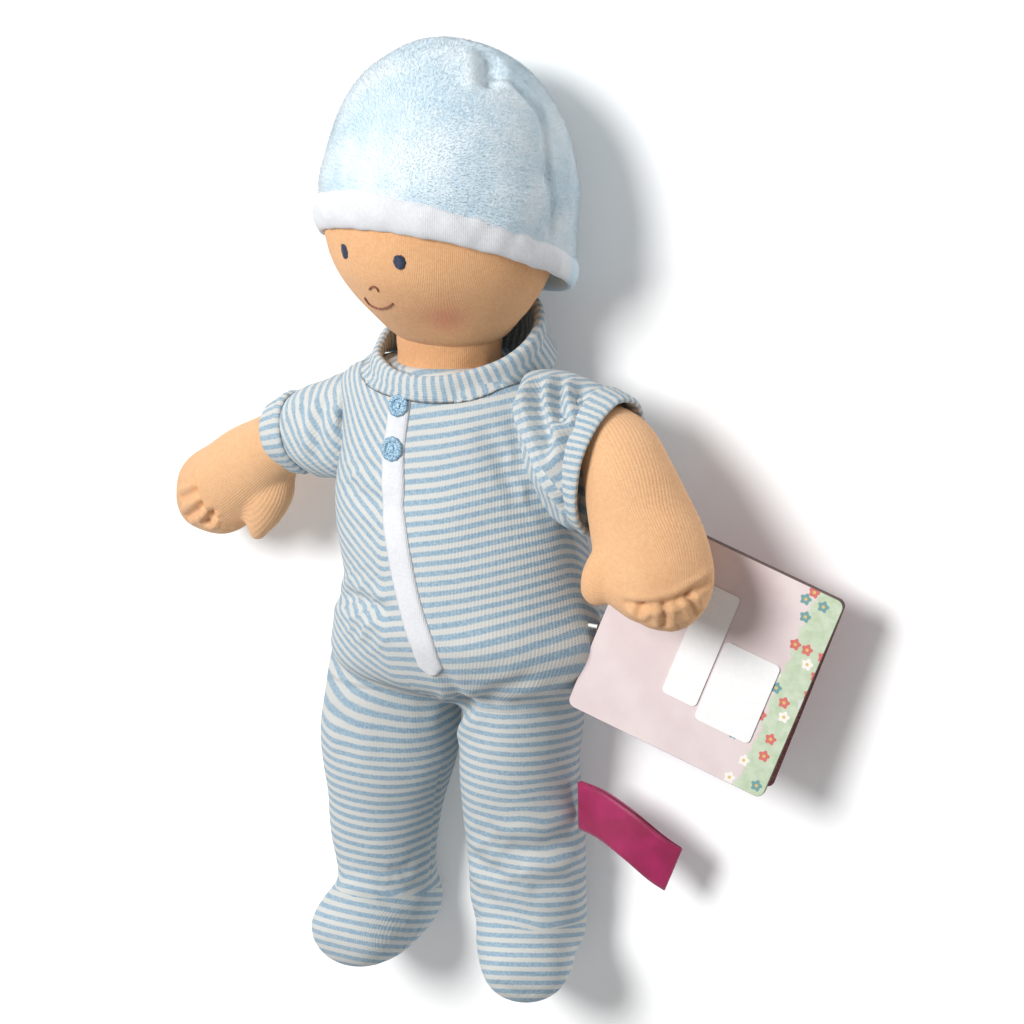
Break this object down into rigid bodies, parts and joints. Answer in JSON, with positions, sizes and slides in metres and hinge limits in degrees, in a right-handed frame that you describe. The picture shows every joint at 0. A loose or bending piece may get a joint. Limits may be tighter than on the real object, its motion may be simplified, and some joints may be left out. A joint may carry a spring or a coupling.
{
  "type": "cloth baby doll",
  "caption": "Soft cloth baby doll in a striped footed romper and a pull-off plush beanie, with swinging arms and legs, a turning head, a ribbon label and a folded card tag.",
  "frame": {"origin": "centre of the underside of the bounding box, with the doll lying on its back", "axes": "+Z out of the doll's front, +Y towards its head, +X towards its left side"},
  "size_m": [0.3088, 0.3978, 0.1026],
  "materials": {
    "skin_jersey": "matt fine knit",
    "fibre_fill": "loose fibre",
    "striped_jersey": "matt striped knit",
    "white_jersey": "matt brushed knit",
    "plush": "short soft pile",
    "blue_thread": "satin stitched thread",
    "navy_thread": "satin stitched thread",
    "brown_thread": "stitched thread",
    "printed_card": "coated printed card",
    "rose_card": "coated printed card",
    "sticker_paper": "semi gloss paper",
    "clear_nylon": "clear moulded nylon",
    "satin_ribbon": "woven satin"
  },
  "bodies": {
    "torso": {"body_stuffing": "fibre_fill", "romper_back": "striped_jersey", "romper_front_left": "striped_jersey", "romper_front_right": "striped_jersey", "placket": "white_jersey", "button_upper": "blue_thread", "button_lower": "blue_thread", "collar_band": "striped_jersey", "tag_pin": "clear_nylon"},
    "neck": {"neck_tube": "skin_jersey", "neck_stuffing": "fibre_fill"},
    "head": {"head_stuffing": "fibre_fill", "face_panel": "skin_jersey", "head_back_panel": "skin_jersey", "eye_left": "navy_thread", "eye_right": "navy_thread", "nose_stitch": "brown_thread", "mouth_stitch": "brown_thread"},
    "hat": {"hat_front_panel": "plush", "hat_back_panel": "plush", "hat_lining": "white_jersey"},
    "arm_left": {"arm_left": "skin_jersey", "arm_stuffing_left": "fibre_fill", "sleeve_left": "striped_jersey", "cuff_left": "striped_jersey"},
    "arm_right": {"arm_right": "skin_jersey", "arm_stuffing_right": "fibre_fill", "sleeve_right": "striped_jersey", "cuff_right": "striped_jersey"},
    "leg_left": {"leg_stuffing_left": "fibre_fill", "romper_leg_left": "striped_jersey", "foot_upper_left": "striped_jersey", "foot_sole_left": "striped_jersey"},
    "leg_right": {"leg_stuffing_right": "fibre_fill", "romper_leg_right": "striped_jersey", "foot_upper_right": "striped_jersey", "foot_sole_right": "striped_jersey"},
    "side_label": {"side_label": "satin_ribbon"},
    "tag": {"tag_back_cover": "printed_card", "sticker_wide": "sticker_paper", "sticker_square": "sticker_paper"},
    "tag_cover": {"tag_front_cover": "rose_card"}
  },
  "joints": [
    {"name": "neck_nod", "type": "hinge", "parent": "torso", "child": "neck", "pos_m": [-0.01266, 0.06206, 0.045], "axis": [1, 0, 0], "range_deg": [-8, 12]},
    {"name": "head_turn", "type": "hinge", "parent": "neck", "child": "head", "pos_m": [-0.01266, 0.08006, 0.045], "axis": [0, 1, 0], "range_deg": [-22, 55]},
    {"name": "hat_off", "type": "slide", "parent": "head", "child": "hat", "axis": [0, 1, 0], "range_m": [0, 0.13]},
    {"name": "shoulder_left", "type": "hinge", "parent": "torso", "child": "arm_left", "pos_m": [0.03834, 0.05106, 0.044], "axis": [-1, 0, 0], "range_deg": [0, 150]},
    {"name": "shoulder_right", "type": "hinge", "parent": "torso", "child": "arm_right", "pos_m": [-0.06366, 0.05106, 0.044], "axis": [-1, 0, 0], "range_deg": [0, 150]},
    {"name": "hip_left", "type": "hinge", "parent": "torso", "child": "leg_left", "pos_m": [0.01784, -0.06894, 0.0295], "axis": [-1, 0, 0], "range_deg": [0, 75]},
    {"name": "hip_right", "type": "hinge", "parent": "torso", "child": "leg_right", "pos_m": [-0.04316, -0.06894, 0.0295], "axis": [-1, 0, 0], "range_deg": [0, 75]},
    {"name": "label_fold", "type": "hinge", "parent": "leg_left", "child": "side_label", "pos_m": [0.04614, -0.10884, 0.0275], "axis": [0, 1, 0], "range_deg": [-55, 20]},
    {"name": "tag_swing", "type": "hinge", "parent": "torso", "child": "tag", "pos_m": [0.05835, -0.03052, 0.04722], "axis": [0.1709, 0.0688, 0.9829], "range_deg": [-10, 0]},
    {"name": "tag_open", "type": "hinge", "parent": "tag", "child": "tag_cover", "pos_m": [0.07449, 0.01832, 0.03947], "axis": [0.9335, -0.3306, -0.1392], "range_deg": [-7, 3]}
  ]
}
